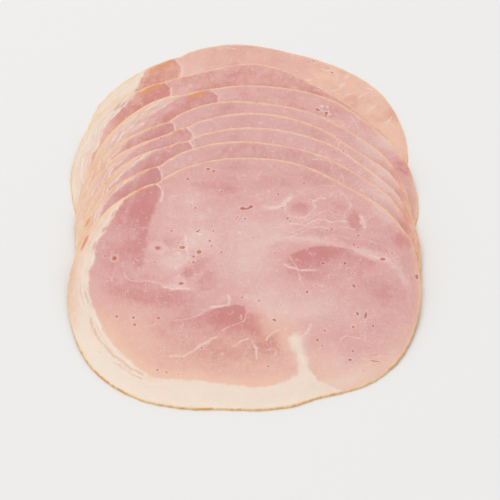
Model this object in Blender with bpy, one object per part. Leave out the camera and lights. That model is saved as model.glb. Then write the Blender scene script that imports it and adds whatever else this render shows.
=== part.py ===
"""A fanned stack of eight thin slices of glazed ham, all cut from one piece of meat.

Every slice is one closed solid of its own. The lowest lies flat at z = 0 at the back of the fan, and each
next one lies a step further forward, sags over the edge of those below it and reaches the table in front.
Metres, +Z up, +Y towards the back of the fan. The origin is in the middle of the footprint, at the table.
"""

import bpy
import numpy as np
from mathutils import Vector
from mathutils.geometry import delaunay_2d_cdt

MM = 0.001

# One slice, in millimetres
THICK = 1.5
AIR = 0.3  # space left between one slice and the next
RISE = THICK + AIR
SAG = 12.0  # how far past the edge of a lower slice the next one takes to come down

# The shared outline of the cut face, in millimetres, going round clockwise from the back
OUTLINE = [
    (3, 80.5), (23, 78.3), (43, 71), (63, 56), (80, 38), (90.5, 14), (93.5, -8),
    (90, -29), (81, -48), (67, -62), (51, -69), (39, -72), (25, -77.5), (8, -79.8),
    (-11, -79.3), (-32, -78.5), (-56, -72), (-78, -54.5), (-90, -29), (-93, -5),
    (-88, 22), (-77, 41), (-62, 55), (-47, 64), (-33, 73), (-16, 79),
]
RIM_POINTS = 80
LOBE_WIDTH = 16.0  # degrees round the slice
NICK_WIDTH = 3.2
NICK_DEPTH = 1.5
NICK_STEPS = (-5.0, -2.5, 0.0, 2.5, 5.0)
LATTICE = 11.0  # spacing of the loose points inside the slices

# From the lowest slice to the top one: where its middle lies, how far it is turned (degrees), where the
# nick in its back edge is (millimetres across) and the lobes that make its edge its own, each as a
# direction in degrees and how far it stands out there in millimetres
SLICES = [
    dict(at=(-2.7, 81.0), turn=-2.5, nick=-43, lobes=[(35, 1.0), (60, -2.5), (75, -3.0), (128, 1.5)]),
    dict(at=(-7.5, 57.5), turn=-5.0, nick=-64,
         lobes=[(3, 4.5), (25, -1.5), (55, -2.0), (88, 5.0), (108, -1.0), (132, 2.5), (152, 2.5)]),
    dict(at=(1.0, 42.5), turn=-6.0, nick=-48,
         lobes=[(35, -1.5), (60, -0.5), (85, -1.0), (112, -1.0), (134, 5.5), (157, 1.5)]),
    dict(at=(-3.5, 25.4), turn=0.0, nick=-44, lobes=[(48, -0.5), (75, -0.5), (100, 2.0), (150, 1.0)]),
    dict(at=(-2.0, 13.5), turn=-2.0, nick=-36, lobes=[(45, -2.5), (88, 2.0), (150, 2.0)]),
    dict(at=(-0.6, 1.0), turn=-2.0, nick=-37, lobes=[(33, -2.0), (55, -0.5), (92, 1.0), (140, 3.5)]),
    dict(at=(-2.1, -12.0), turn=0.0, nick=-49,
         lobes=[(15, 1.0), (60, -0.5), (97, 1.5), (120, 1.5), (150, 1.5)]),
    dict(at=(-3.2, -24.8), turn=0.0, nick=-49, lobes=[(15, 2.5), (50, -2.0), (152, -1.0), (172, 1.0)]),
]
MEAT_COLOUR = (0.80, 0.50, 0.44, 1.0)


def smooth_loop(points, steps):
    """A closed smooth curve through the points, with this many steps from each to the next."""
    t = np.arange(steps)[None, :, None] / steps
    before, here, there, beyond = (np.roll(points, -shift, axis=0)[:, None, :] for shift in (-1, 0, 1, 2))
    curve = (
        2 * here
        + (there - before) * t
        + (2 * before - 5 * here + 4 * there - beyond) * t**2
        + (3 * here - 3 * there + beyond - before) * t**3
    )
    return (curve / 2).reshape(-1, 2)


def rim_of(slice_):
    """The edge of one slice on the table, as a loop of points in millimetres."""
    loop = smooth_loop(np.array(OUTLINE, float), 24)
    reach = np.hypot(*loop.T)
    heading = np.degrees(np.arctan2(loop[:, 1], loop[:, 0]))
    out = np.zeros(len(loop))
    for direction, height in slice_["lobes"]:
        off = (heading - direction + 180) % 360 - 180
        out += height * np.exp(-((off / LOBE_WIDTH) ** 2))
    loop *= (1 + out / reach)[:, None]
    along = np.concatenate([[0], np.cumsum(np.hypot(*np.diff(loop, axis=0, append=loop[:1]).T))])
    round_trip = np.vstack([loop, loop[:1]])
    at_nick = along[:-1][np.argmin(np.hypot(loop[:, 0] - slice_["nick"], (loop[:, 1] < 0) * 1000.0))]
    even = np.arange(RIM_POINTS) * along[-1] / RIM_POINTS
    even = even[np.abs(even - at_nick) > 8]
    places = np.sort(np.concatenate([even, at_nick + np.array(NICK_STEPS)]))
    rim = np.stack([np.interp(places, along, round_trip[:, axis]) for axis in (0, 1)], axis=1)
    depth = NICK_DEPTH * np.exp(-(((places - at_nick) / NICK_WIDTH) ** 2))
    rim *= (1 - depth / np.hypot(*rim.T))[:, None]
    turn = np.radians(slice_["turn"])
    spin = np.array([[np.cos(turn), -np.sin(turn)], [np.sin(turn), np.cos(turn)]])
    return rim @ spin.T + slice_["at"]


def inside(points, rim):
    """Which of the points lie inside the rim."""
    x, y = points[:, :1], points[:, 1:]
    ax, ay = rim.T
    bx, by = np.roll(rim, -1, axis=0).T
    crosses = (ay > y) != (by > y)
    with np.errstate(divide="ignore", invalid="ignore"):
        left_of = x < ax + (y - ay) * (bx - ax) / (by - ay)
    return (crosses & left_of).sum(axis=1) % 2 == 1


def past_rim(points, rim):
    """How far each point lies outside the rim, and zero inside it."""
    side = np.roll(rim, -1, axis=0) - rim
    to_point = points[:, None] - rim[None]
    share = np.clip((to_point * side).sum(axis=2) / (side**2).sum(axis=1), 0, 1)
    nearest = np.sqrt(((to_point - share[..., None] * side) ** 2).sum(axis=2)).min(axis=1)
    return np.where(inside(points, rim), 0.0, nearest)


def lifts_of(points, rims):
    """The height of the underside of each slice at each point, raised by every slice below it."""
    lifts = [np.zeros(len(points))]
    for rim in rims[:-1]:
        share = np.clip(1 - past_rim(points, rim) / SAG, 0, 1)
        lifts.append(lifts[-1] + RISE * share**2 * (3 - 2 * share))
    return lifts


def shared_triangles(rims):
    """One flat set of triangles that holds every rim as edges, so that the slices can't cut each other."""
    low = np.min([rim.min(axis=0) for rim in rims], axis=0)
    high = np.max([rim.max(axis=0) for rim in rims], axis=0)
    loose = []
    for row, y in enumerate(np.arange(low[1], high[1], LATTICE * 0.87)):
        for x in np.arange(low[0], high[0], LATTICE) + (row % 2) * LATTICE / 2:
            loose.append((x, y))
    loose = np.array(loose)
    clear = np.min([np.abs(loose[:, None] - rim[None]).max(axis=2).min(axis=1) for rim in rims], axis=0) > 4
    points = np.vstack(rims + [loose[clear]])
    edges, start = [], 0
    for rim in rims:
        edges += [(start + i, start + (i + 1) % len(rim)) for i in range(len(rim))]
        start += len(rim)
    found = delaunay_2d_cdt([Vector(p) for p in points], edges, [], 0, 0.05)
    return np.array([tuple(v) for v in found[0]]), np.array(found[2])


def add_slice(name, points, triangles, lift, material):
    """One slice as a closed solid over the given triangles, its underside at the given heights."""
    used = np.unique(triangles)
    number = np.full(len(points), -1)
    number[used] = np.arange(len(used))
    faces = number[triangles]
    a, b, c = points[triangles].transpose(1, 0, 2)
    turned = (b - a)[:, 0] * (c - a)[:, 1] - (b - a)[:, 1] * (c - a)[:, 0] < 0
    faces[turned] = faces[turned][:, ::-1]
    sides = np.concatenate([faces[:, [0, 1]], faces[:, [1, 2]], faces[:, [2, 0]]])
    both_ways = {tuple(side) for side in sides}
    edge = np.array([side for side in both_ways if side[::-1] not in both_ways])
    edge = edge[np.lexsort(edge.T)]

    under = np.column_stack([points[used], lift[used]])
    over = under + [0, 0, THICK]
    up = len(used)
    solid = np.vstack([
        faces[:, ::-1],
        faces + up,
        np.column_stack([edge[:, 0], edge[:, 1], edge[:, 1] + up]),
        np.column_stack([edge[:, 0], edge[:, 1] + up, edge[:, 0] + up]),
    ])
    mesh = bpy.data.meshes.new(name)
    mesh.from_pydata((np.vstack([under, over]) * MM).tolist(), [], solid.tolist())
    mesh.materials.append(material)
    obj = bpy.data.objects.new(name, mesh)
    bpy.context.scene.collection.objects.link(obj)
    return obj


def meat_material():
    material = bpy.data.materials.new("ham")
    material.use_nodes = True
    shader = material.node_tree.nodes["Principled BSDF"]
    shader.inputs["Base Color"].default_value = MEAT_COLOUR
    shader.inputs["Roughness"].default_value = 0.45
    return material


def main():
    for obj in list(bpy.data.objects):
        bpy.data.objects.remove(obj)
    rims = [rim_of(slice_) for slice_ in SLICES]
    everything = np.vstack(rims)
    middle = (everything.min(axis=0) + everything.max(axis=0)) / 2
    rims = [rim - middle for rim in rims]
    points, triangles = shared_triangles(rims)
    lifts = lifts_of(points, rims)
    centres = points[triangles].mean(axis=1)
    material = meat_material()
    for number, (rim, lift) in enumerate(zip(rims, lifts), start=1):
        add_slice(f"slice_{number}", points, triangles[inside(centres, rim)], lift, material)


main()
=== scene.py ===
# %% [markdown]
# A fanned stack of glazed ham: eight thin slices of one cooked ham. Their cut face shows what every ham
# shows: muscles in several pinks, pale seams between them, a fat cap with stringy layers, small holes, and
# a thin line of brown glaze round the edge.
#
# The slices come from the CAD model as plain solids. Each one is rebuilt here as a fine mesh, so that its
# edge can be rounded and its holes can be sunk. The face is painted as layers of numbers on the mesh's
# points, and the material turns those into colour.

import math

import bpy
import numpy as np
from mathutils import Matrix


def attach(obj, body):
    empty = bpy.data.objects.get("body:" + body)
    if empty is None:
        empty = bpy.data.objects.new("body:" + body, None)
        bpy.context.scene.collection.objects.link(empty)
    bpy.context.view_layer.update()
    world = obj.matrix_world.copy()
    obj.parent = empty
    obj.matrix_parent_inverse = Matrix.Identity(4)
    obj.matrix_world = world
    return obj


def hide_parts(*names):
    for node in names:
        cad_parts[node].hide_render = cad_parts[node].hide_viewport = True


MM = 0.001
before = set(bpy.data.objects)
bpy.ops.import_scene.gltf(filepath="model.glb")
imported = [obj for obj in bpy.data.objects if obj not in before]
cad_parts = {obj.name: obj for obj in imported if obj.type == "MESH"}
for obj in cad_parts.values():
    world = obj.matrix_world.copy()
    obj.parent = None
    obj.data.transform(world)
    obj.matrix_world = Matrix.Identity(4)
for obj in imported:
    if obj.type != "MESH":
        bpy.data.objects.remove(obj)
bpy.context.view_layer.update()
print("slices:", sorted(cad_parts))

# %% [markdown]
# Slices come off the slicer in a fan, each turned a little differently. Their edges could be drawn again
# here, but a second drawing might not match the solids. So the edge of each slice is read from its solid, as
# points in millimetres seen from above. Only how each slice lies is written down: its middle, its turn, and
# how far its nick is from the top slice's nick.

# %% How the slices lie
MIDDLE = np.array((-3.79, 28.10))  # from the drawing's own origin to the middle of the footprint
LIE = [  # middle, turn in degrees, how far the dark back muscle ends from where it does on the top slice
    ((-2.7, 81.0), -2.5, (5, 2.5)),
    ((-7.5, 57.5), -5.0, (1, 3.5)),
    ((1.0, 42.5), -6.0, (18, 10.5)),
    ((-3.5, 25.4), 0.0, (6, 4.5)),
    ((-2.0, 13.5), -2.0, (13, 7)),
    ((-0.6, 1.0), -2.0, (12, 9)),
    ((-2.1, -12.0), 0.0, (-1, 1.5)),
    ((-3.2, -24.8), 0.0, (0, 0)),
]
COUNT = len(LIE)
TOP = COUNT - 1
HEADINGS = np.radians(np.arange(-180, 180, 0.5))
UPRIGHT = 0.3  # a face is part of the cut edge if its normal rises less than this
BLUR = 1.8  # how many headings the edge is smoothed over
BLUR_END = 6


def middle_of(k):
    return np.array(LIE[k][0]) - MIDDLE


def turned(points, degrees):
    """Points turned anticlockwise about the origin."""
    turn = math.radians(degrees)
    spin = np.array([[math.cos(turn), -math.sin(turn)], [math.sin(turn), math.cos(turn)]])
    return points @ spin.T


def to_slice(k, points):
    """Points on the floor as seen in slice k's own directions, its fat cap to the left and front."""
    return turned(points - middle_of(k), -LIE[k][1])


def from_slice(k, points):
    """Points of slice k put back on the floor."""
    return turned(points, LIE[k][1]) + middle_of(k)


def polar(reach, heading):
    return np.stack([reach * np.cos(heading), reach * np.sin(heading)], axis=1)


def reach_of(k):
    """How far the edge of slice k stands from its middle, for every half degree round it."""
    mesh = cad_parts[f"slice_{k + 1}"].data
    upright = [p for p in mesh.polygons if abs(p.normal.z) < UPRIGHT]
    places = {tuple(round(c / MM, 3) for c in mesh.vertices[i].co[:2]) for p in upright for i in p.vertices}
    edge = to_slice(k, np.array(sorted(places)))
    heading = np.arctan2(edge[:, 1], edge[:, 0])
    order = np.argsort(heading)
    reach = np.interp(HEADINGS, heading[order], np.hypot(*edge.T)[order], period=2 * np.pi)
    kernel = np.exp(-((np.arange(-BLUR_END, BLUR_END + 1) / BLUR) ** 2))
    wide = np.concatenate([reach[-BLUR_END:], reach, reach[:BLUR_END]])
    return np.convolve(wide, kernel / kernel.sum(), "valid")


REACH = [reach_of(k) for k in range(COUNT)]
print("reach of the top slice, mm:", round(REACH[TOP].min(), 1), "to", round(REACH[TOP].max(), 1))


# %% [markdown]
# Painting on points needs only a few tools: a soft step, smooth random hills, soft oval spots, and the
# distance to a drawn line. A picture could be painted and wrapped over the slice instead, but numbers on the
# points need no picture file and stay sharp at the size of the mesh. All the tools work in a slice's own
# millimetres.

# %% Soft steps, hills and spots
HILL_CELLS = 64  # the random heights repeat after this many hills


def soft(x, low, high):
    """0 below low, 1 above high, smooth between."""
    t = np.clip((x - low) / (high - low), 0, 1)
    return t * t * (3 - 2 * t)


def between_cells(table, i, j, next_i, next_j, along, up):
    """Values of a table at points between its cells."""
    low = table[j, i] * (1 - along) + table[j, next_i] * along
    high = table[next_j, i] * (1 - along) + table[next_j, next_i] * along
    return low * (1 - up) + high * up


def hills(points, size, seed):
    """Smooth random hills from about -1 to 1, each about this many millimetres across."""
    table = np.random.default_rng(seed).uniform(-1, 1, (HILL_CELLS, HILL_CELLS))
    place = points / size + 10 * HILL_CELLS
    whole = np.floor(place).astype(int)
    along, up = soft(place - whole, 0, 1).T
    i, j = (whole % HILL_CELLS).T
    return between_cells(table, i, j, (i + 1) % HILL_CELLS, (j + 1) % HILL_CELLS, along, up)


def own_seed(k):
    """Seeds for slice k start here, far enough apart that no two slices share one."""
    return 100 * (k + 1)


def sway(points, size, seed):
    """Random pushes in both directions, to bend what is painted."""
    return np.stack([hills(points, size, seed), hills(points, size, seed + 1)], axis=1)


def in_oval(points, u, v, wide, high, turn):
    """Where points lie in a turned oval, in half widths and half heights from its middle."""
    t = math.radians(turn)
    du, dv = points[:, 0] - u, points[:, 1] - v
    return (du * math.cos(t) + dv * math.sin(t)) / wide, (dv * math.cos(t) - du * math.sin(t)) / high


def spot(points, u, v, wide, high, turn=0.0, power=2.0):
    """A soft oval spot: 1 in the middle, about a third at its radii. More power makes its edge clearer."""
    a, b = in_oval(points, u, v, wide, high, turn)
    return np.exp(-((a * a + b * b) ** (power / 2)))


middle_point = np.zeros((1, 2))
print("a spot at its radius:", round(float(spot(middle_point, 1, 0, 1, 1)[0]), 2))


# %% [markdown]
# Seams, edges and the rim are lines, and what is painted beside a line depends on how far a point is from
# it. The distance is taken to every straight stretch in turn, for all points at once, and the nearest
# stretch counts. A curve would be smoother, but at this size short stretches look the same.

# %% Distances to drawn lines
FAR = 1e9


def line_distance(points, line, closed=False):
    """The distance from each point to a drawn line."""
    line = np.array(line, float)
    ends = np.roll(line, -1, axis=0) if closed else line[1:]
    nearest = np.full(len(points), FAR)
    for a, b in zip(line, ends):
        ab = b - a
        to_point = points - a
        share = np.clip(to_point @ ab / (ab @ ab), 0, 1)
        nearest = np.minimum(nearest, np.hypot(*(to_point - share[:, None] * ab).T))
    return nearest


def beside(points, line):
    """The distance to a drawn line, positive on its right hand, and how far along it that is, 0 to 1."""
    line = np.array(line, float)
    nearest = np.full(len(points), FAR)
    side, along = np.zeros(len(points)), np.zeros(len(points))
    for i, (a, b) in enumerate(zip(line, line[1:])):
        ab, to_point = b - a, points - a
        share = np.clip(to_point @ ab / (ab @ ab), 0, 1)
        off = np.hypot(*(to_point - share[:, None] * ab).T)
        closer = off < nearest
        nearest[closer] = off[closer]
        side[closer] = np.sign(ab[1] * to_point[:, 0] - ab[0] * to_point[:, 1])[closer]
        along[closer] = ((i + share) / (len(line) - 1))[closer]
    return nearest * side, along


def inside(points, loop):
    """Whether points lie inside a closed line, by counting how often a level ray from each crosses it."""
    loop = np.array(loop, float)
    crossings = np.zeros(len(points), int)
    for a, b in zip(loop, np.roll(loop, -1, axis=0)):
        between = (points[:, 1] < a[1]) != (points[:, 1] < b[1])
        if a[1] != b[1]:
            at = a[0] + (points[:, 1] - a[1]) * (b[0] - a[0]) / (b[1] - a[1])
            crossings += between & (points[:, 0] < at)
    return crossings % 2 == 1


def stroke(points, line, wide, strength):
    """A painted line: above zero up to about twice its half width, most in its middle."""
    return strength * (1.15 - line_distance(points, line) / (1.9 * wide))


to_rim = line_distance(middle_point, polar(REACH[TOP], HEADINGS), closed=True)[0]
print("from the middle of the top slice to the nearest part of its edge, mm:", to_rim.round(1))


# %% [markdown]
# A slice of ham is limp: it rests on the slices below it and sags over their edges down to the floor. A
# cloth simulation could drop the slices one by one, but it would move them away from the solids. The solids
# follow a rule instead, which is repeated here: each slice below lifts the ones above it by the same height,
# and that lift fades out smoothly past its edge. It is worked out on a 1 mm grid and looked up from there.

# %% How high each slice lies
RISE = 1.8  # from the underside of one slice to that of the next
SAG = 12.0  # how far past a lower slice's edge the next one takes to come down
RIM_STEP = 4  # every fourth heading is enough to follow the edge for the sag
GRID_HALF = np.array((110.0, 145.0))
GRID_X, GRID_Y = np.meshgrid(*(np.arange(-half, half + 1) for half in GRID_HALF))
grid_points = np.stack([GRID_X.ravel(), GRID_Y.ravel()], axis=1)


def past_rim(points, k):
    """How far each point lies outside slice k, and zero inside it."""
    rim = from_slice(k, polar(REACH[k], HEADINGS)[::RIM_STEP])
    return np.where(inside(points, rim), 0.0, line_distance(points, rim, closed=True))


LIFTS = [np.zeros(GRID_X.shape)]
for k in range(TOP):
    step_up = RISE * soft(1 - past_rim(grid_points, k) / SAG, 0, 1)
    LIFTS.append(LIFTS[-1] + step_up.reshape(GRID_X.shape))


def lift(k, points):
    """The height of slice k's underside at these points."""
    cell = points + GRID_HALF
    whole = np.floor(cell).astype(int)
    i, j = whole.T
    return between_cells(LIFTS[k], i, j, i + 1, j + 1, *(cell - whole).T)


print("highest underside, mm:", round(float(LIFTS[-1].max()), 2))


# %% [markdown]
# What the cut face shows is given in millimetres from the middle of a slice: u to the right, v to the back.
# The fat cap lies along the left and the front. The lean is drawn as one outline, which follows the fat and
# runs off the slice everywhere else. Its back end differs from slice to slice, because the fan shows the
# back of every slice.

# %% The line between fat and lean
FAT_EDGE = [  # the back end of the line between fat and lean, for each slice
    [(-60, 66), (-63, 54), (-65, 43), (-68, 36), (-75, 24)],
    [(-58, 66), (-62, 58), (-67, 49), (-72, 40), (-76, 31), (-79, 22)],
    [(-46, 68), (-52, 62), (-57, 56), (-63, 50), (-67, 41), (-75, 30)],
    [(-60, 60), (-65, 52), (-69, 45), (-76, 34)],
    [(-52, 63), (-57, 59), (-62, 54), (-69, 46), (-76, 35)],
    [(-49, 67), (-54, 62), (-60, 56), (-66, 49), (-73, 41), (-79, 32)],
    [(-58, 60), (-64, 52), (-69, 47), (-74, 41), (-79, 30)],
    [(-60, 60), (-65, 49), (-69.5, 40), (-74.5, 30), (-78, 22), (-79.5, 16)],
]
LEAN = [  # and the rest of the lean's outline, the same on all of them
    (-80, 11), (-82, 3), (-82, -8), (-80, -16), (-78, -22), (-75, -28), (-71, -35), (-65.5, -43),
    (-59.5, -50), (-53, -57), (-46, -61.5), (-38, -63), (-25, -63), (-10, -66), (5, -67), (15, -66),
    (22, -63), (27, -60), (28, -54), (27, -48), (24, -43), (23, -40), (26, -37), (30, -41), (32, -49),
    (34, -57), (38, -63), (46, -67), (56, -72), (70, -84), (120, -60), (120, 90), (0, 120),
]


def lean_depth(k, at):
    """How deep each point lies in the lean, and below zero in the fat."""
    outline = FAT_EDGE[k] + LEAN
    return line_distance(at, outline, closed=True) * np.where(inside(at, outline), 1, -1)


print("points in the lean's outline:", [len(edge + LEAN) for edge in FAT_EDGE])


# %% [markdown]
# The lean is several muscles, cut across, and each has its own pink. Most fade into one another, so they are
# soft spots. A few end in a clear edge, which is a blob or a line with darker meat on one side. Noise alone
# could give pinks like these, but not muscles in their right places.

# %% The muscles
MUSCLES = [  # u, v, half width, half height, turn, how much darker
    (-57, 45, 18, 8, 62, 0.22), (-53, 36, 12, 5, 75, 0.16), (-64, 18, 14, 26, 0, 0.15),
    (-6, 60, 26, 7, -4, 0.11), (-12, -50, 26, 7, 4, 0.14), (-30, -43, 18, 7, 0, 0.12),
    (-58, -20, 14, 10, 0, 0.02), (-5, -27, 9, 6, 10, 0.52), (4, -36, 14, 8, -20, 0.24),
    (-42, -16, 22, 6, -4, 0.14), (-30, -33, 26, 8, 6, 0.10), (38, 10, 14, 6, 6, 0.30),
    (33, -1, 14, 6, -10, 0.20), (86, 24, 9, 7, 0, 0.18), (76, -11, 14, 9, -20, 0.20),
    (64, 2, 10, 6, -20, 0.06), (-6, 73, 14, 6, 0, 0.14), (8, -47, 14, 8, 0, 0.04),
    (77, -27, 5, 3, 0, 0.12), (57, -44, 9, 6, 0, 0.10), (46, 30, 10, 4, 8, 0.14),
    (50, -52, 14, 9, 0, -0.20), (84, -32, 8, 14, 0, -0.14), (74, -20, 10, 8, 0, -0.06),
    (-66, -12, 12, 8, 0, 0.06), (-50, -2, 6, 2.5, -10, 0.14), (25, 68, 14, 6, -8, 0.06),
    (48, 40, 6, 8, 0, 0.08), (-30, 50, 13, 12, 0, -0.16), (-36, 34, 12, 9, 0, -0.10),
    (-24, 22, 9, 7, 0, -0.34), (-38, 7, 9, 6, 0, -0.34), (-36, -8.5, 8, 2, 0, -0.36),
    (4, 27, 20, 12, 0, -0.24), (2, 7, 13, 12, 0, -0.32), (22, -22, 18, 13, 0, -0.26),
    (43, -24, 16, 10, 0, -0.16), (72, 50, 14, 7, -35, -0.20), (28, -43, 4, 7, 0, -0.30),
    (-18, 38, 10, 5, 20, -0.12), (20, 30, 8, 4, 0, -0.16), (10, -12, 8, 8, 0, -0.12),
    (76, 38, 9, 4, -30, -0.22), (-68, 24, 8, 4, 60, -0.12), (12, 52, 8, 6, 0, -0.10),
    (-64, 5, 6, 4, 0, -0.06), (-6, 49, 9, 3, 10, 0.10), (60, 57, 12, 5, -30, 0.12),
    (40, 56, 12, 4, 0, -0.10), (-55, -40, 16, 6, -30, -0.10),
]
BLOBS = [  # the same, but with a clear edge
    (31, 42.5, 5.6, 5.2, 0, 0.20), (-26, 3.5, 8.5, 4.0, 38, 0.24), (-31, -0.5, 3.5, 3, 0, 0.16),
    (-19, -6, 5, 5.5, 20, 0.20), (-39, 21, 6, 3.5, 12, 0.18), (60, 33, 4.5, 8, 8, 0.22),
    (7, -31, 7, 6, 20, 0.14), (-64, 12, 12, 14, 0, 0.08), (40, 26, 14, 2.6, 4, 0.16),
    (51, 42, 5, 6, 0, 0.08), (71, 31, 5, 6, 0, 0.08), (86, 22, 7, 6, 0, 0.12), (-46, 4, 5, 3, 0, 0.10),
    (64, 20, 16, 3.5, -12, 0.12), (12, -45, 8, 4, 0, 0.10), (40, 62, 9, 5, -20, 0.12),
    (66, 56, 8, 4, -35, 0.12), (18, 63, 9, 4, -10, 0.08), (-70, -8, 6, 5, 0, 0.08),
    (-56, -14, 9, 4, -10, 0.12), (-24, -30, 14, 4, 8, 0.12), (44, 33, 5, 1.8, 30, 0.10),
]
EDGES = [  # a line with darker meat on its right hand, how much darker, and how far that fades
    ([(-62, 0), (-57, -4.5), (-50, -5.5), (-44, -8), (-38, -10.5), (-30, -10.5), (-22, -14)], 0.26, 7),
    ([(20, 9), (28, 13.5), (38, 17), (47, 18), (55, 16.5), (65, 11), (73, 5)], 0.40, 7),
    ([(0, 55), (-12, 52.5), (-22, 53.5), (-28, 57), (-31, 62)], 0.20, 9),
    ([(-22, -25), (-16, -22), (-9, -20.5), (-4, -19.5), (0, -21), (0.5, -26), (-2, -31)], 0.42, 7),
    ([(-57, 29), (-52, 27), (-51, 20), (-53, 13), (-53, 6), (-58, 0)], 0.20, 10),
    ([(-30, -50), (-22, -46), (-16, -40), (-8, -38)], 0.10, 8),
    ([(11, -42), (14, -38), (19, -35)], 0.18, 5), ([(50, 44), (55, 38), (57, 31), (56, 25)], -0.12, 6),
    ([(24, -44), (26, -50), (27, -57), (24, -62)], 0.06, 9),
]
BACK_END = [(-53, 67), (-49.5, 62.5), (-46.5, 58), (-46, 52), (-47.5, 45), (-50, 36), (-52, 26), (-53, 18)]
BANDS = [  # soft pale bands: line, half width, how much paler
    ([(6, 18), (16, 21), (24, 22), (36, 21.5), (46, 20), (54, 17.5), (61, 14), (68, 12)], 2.2, 0.32),
    ([(61, 13.5), (68, 11.5), (76, 9.5), (82, 4), (86, -3)], 2.4, 0.34),
    ([(84, 0), (87, -8), (87, -18)], 1.6, 0.16), ([(-60, 56), (-62, 46), (-65, 36)], 1.6, 0.16),
    ([(-55, 54), (-58, 42), (-61, 32)], 1.2, 0.10),
    ([(24, 38), (27, 35.5), (33, 36), (38, 39), (39.5, 43), (37, 47.5)], 1.0, 0.22),
    ([(12, 43), (18, 44), (23, 49), (26, 51)], 2.2, 0.34), ([(70, 46), (75, 41), (84, 40)], 1.2, 0.24),
    ([(-3, -12), (-8, -15), (-13, -18)], 1.5, 0.2), ([(2, -14), (9, -18), (14, -28)], 2.5, 0.16),
]
SHADE = (-0.08, 0.16, 0.02, 0.02, -0.10, -0.05, 0.02, 0.02)  # how much darker the lean of each slice is
LEFT_SHADE = (0.10, -0.10, -0.20, 0, 0, 0, 0, 0)  # and how much more at its left
PLAIN_TONE = 0.46
MUSCLE_CONTRAST = 1.25
BLOB_CONTRAST = 1.2
UNEVEN = ((0.08, 14, 6), (0.07, 6, 7), (0.06, 2.6, 8))  # how strong, millimetres across, seed


def darker_side(off, fall):
    """The dark side of a muscle's edge: it starts sharply and fades over this many millimetres."""
    return soft(off, -0.6, 0.9) * np.exp(-np.maximum(off, 0) / fall)


def muscle_tone(k, at, bent, depth):
    """How dark the lean is: 0 for the palest meat, 1 for the deepest pink."""
    tone = np.full(len(at), PLAIN_TONE)
    for *shape, strength in MUSCLES:
        tone += MUSCLE_CONTRAST * strength * spot(at, *shape)
    for *shape, strength in BLOBS:
        tone += BLOB_CONTRAST * strength * spot(bent, *shape, power=6)
    for line, strength, fall in EDGES:
        off, along = beside(at, line)
        tone += strength * darker_side(off, fall) * soft(along, 0, 0.14) * soft(1 - along, 0, 0.14)

    moved = LIE[k][2]
    strength, fall = (0.30, 30) if k == TOP else (0.42, 14 + moved[0])
    off, along = beside(at, np.array(BACK_END) + moved)
    tone += strength * darker_side(off, fall) * soft(1 - along, 0, 0.3)

    tone += SHADE[k] + LEFT_SHADE[k] * soft(-at[:, 0], 40, 60)
    tone -= 0.16 * soft(9 - depth, 0, 9) * soft(-at[:, 1], 30, 48)
    for line, wide, strength in BANDS:
        tone -= strength * np.exp(-((line_distance(at, line) / wide) ** 2))
    for strength, size, seed in UNEVEN:
        tone += (0.8 if k == TOP else 1.3) * strength * hills(at, size, own_seed(k) + seed)
    return np.clip(tone, 0, 1.2)


print("muscles:", len(MUSCLES) + len(BLOBS), "with", len(EDGES) + 1, "sharp edges")


# %% [markdown]
# Between the muscles run pale seams of gristle, mostly hair-thin. They are drawn as lines with a half width.
# The slices below show the same seams pushed aside by chance, and some of them not at all. Small pale flecks
# and grains lie where a seam was cut lengthwise. On the third slice they stand up as crumbs.

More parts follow.
